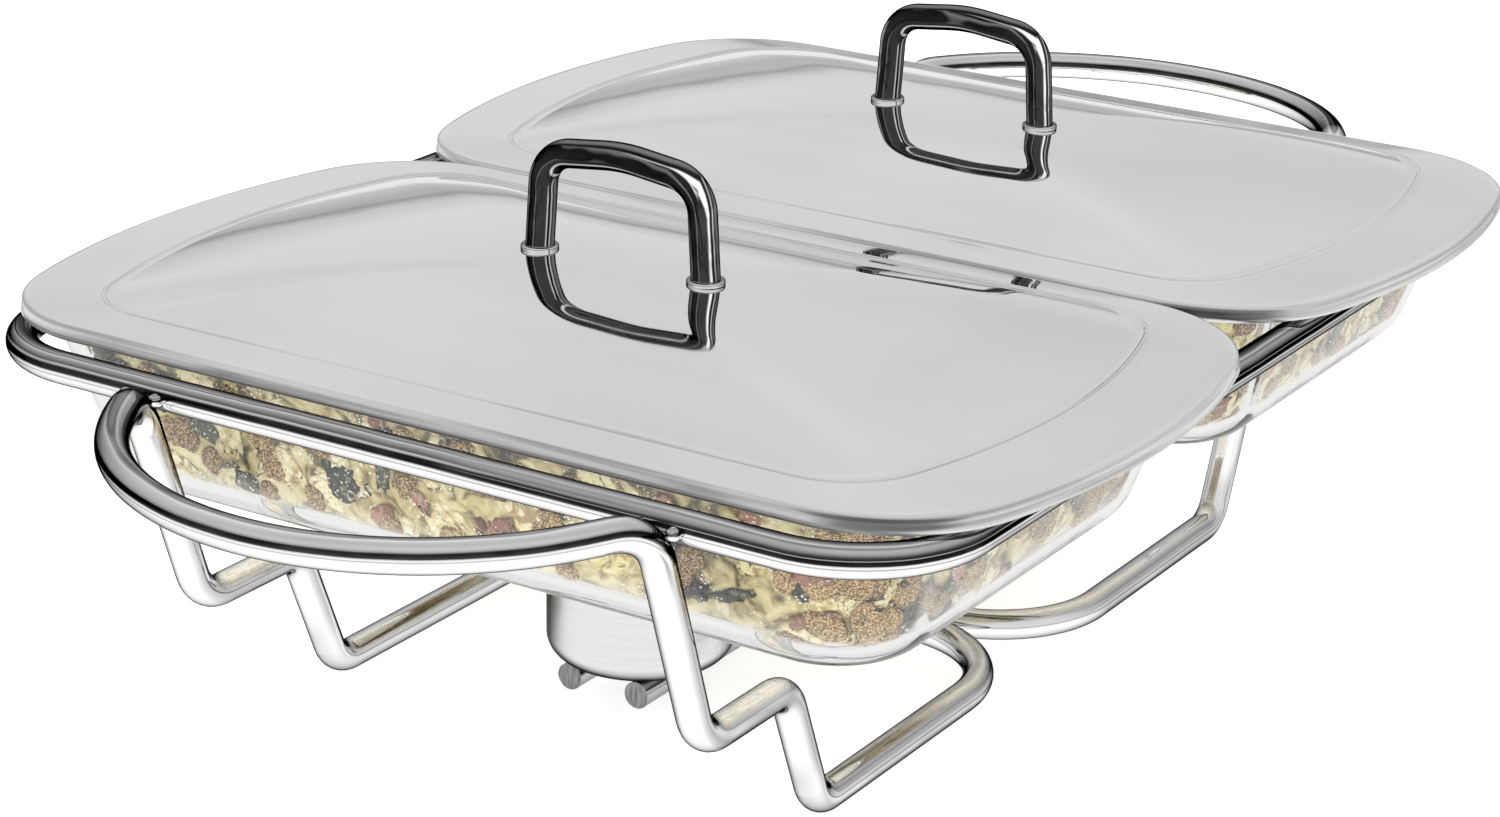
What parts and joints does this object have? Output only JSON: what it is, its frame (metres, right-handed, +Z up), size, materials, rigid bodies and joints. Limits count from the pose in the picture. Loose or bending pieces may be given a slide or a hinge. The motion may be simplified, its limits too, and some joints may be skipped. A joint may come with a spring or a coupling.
{
  "type": "buffet food warmer",
  "caption": "Bent chrome rod rack with carrying handles that holds side-by-side glass baking dishes with polished steel lids over tealight cups.",
  "frame": {"origin": "middle of the rack's footprint, on the table plane", "axes": "+Z up, +X to the right along the long side of each dish, +Y from the front dish to the rear dish"},
  "size_m": [0.289, 0.4644, 0.1473],
  "materials": {
    "chrome_rod": "bright chrome plate on 8 mm bent steel rod",
    "rail_steel": "bright plated 7 mm rod with saw-cut ends",
    "polished_lid": "mirror-polished pressed stainless steel sheet",
    "chrome_handle": "bright chrome plate on bent rod",
    "fastener_steel": "plain bright steel",
    "cup_steel": "satin drawn stainless steel",
    "dish_glass": "clear pressed glass",
    "tealight_aluminium": "thin drawn foil cup",
    "candle_wax": "white paraffin wax",
    "wick_cotton": "braided cotton with a charred tip",
    "tin_plate": "thin tin plate"
  },
  "bodies": {
    "rack": {"top_ring": "chrome_rod", "front_handle_leg_loop": "chrome_rod", "rear_handle_leg_loop": "chrome_rod", "left_burner_rail": "rail_steel", "right_burner_rail": "rail_steel", "front_burner_cup": "cup_steel", "rear_burner_cup": "cup_steel"},
    "front_dish": {"front_glass_dish": "dish_glass"},
    "front_lid": {"front_lid_shell": "polished_lid", "front_lid_handle": "chrome_handle", "front_handle_collars": "chrome_handle", "front_handle_screws": "fastener_steel", "front_screw_washers": "fastener_steel"},
    "front_tealight": {"front_tealight_shell": "tealight_aluminium", "front_tealight_wax": "candle_wax", "front_tealight_wick": "wick_cotton", "front_wick_sustainer": "tin_plate"},
    "rear_dish": {"rear_glass_dish": "dish_glass"},
    "rear_lid": {"rear_lid_shell": "polished_lid", "rear_lid_handle": "chrome_handle", "rear_handle_collars": "chrome_handle", "rear_handle_screws": "fastener_steel", "rear_screw_washers": "fastener_steel"},
    "rear_tealight": {"rear_tealight_shell": "tealight_aluminium", "rear_tealight_wax": "candle_wax", "rear_tealight_wick": "wick_cotton", "rear_wick_sustainer": "tin_plate"}
  },
  "joints": [
    {"name": "front_dish_lift", "type": "slide", "parent": "rack", "child": "front_dish", "axis": [0, 0, 1], "range_m": [0, 0.07]},
    {"name": "front_lid_lift", "type": "slide", "parent": "front_dish", "child": "front_lid", "axis": [0, 0, 1], "range_m": [0, 0.06]},
    {"name": "front_tealight_lift", "type": "slide", "parent": "rack", "child": "front_tealight", "axis": [0, 0, 1], "range_m": [0, 0.024]},
    {"name": "rear_dish_lift", "type": "slide", "parent": "rack", "child": "rear_dish", "axis": [0, 0, 1], "range_m": [0, 0.07]},
    {"name": "rear_lid_lift", "type": "slide", "parent": "rear_dish", "child": "rear_lid", "axis": [0, 0, 1], "range_m": [0, 0.06]},
    {"name": "rear_tealight_lift", "type": "slide", "parent": "rack", "child": "rear_tealight", "axis": [0, 0, 1], "range_m": [0, 0.024]}
  ]
}
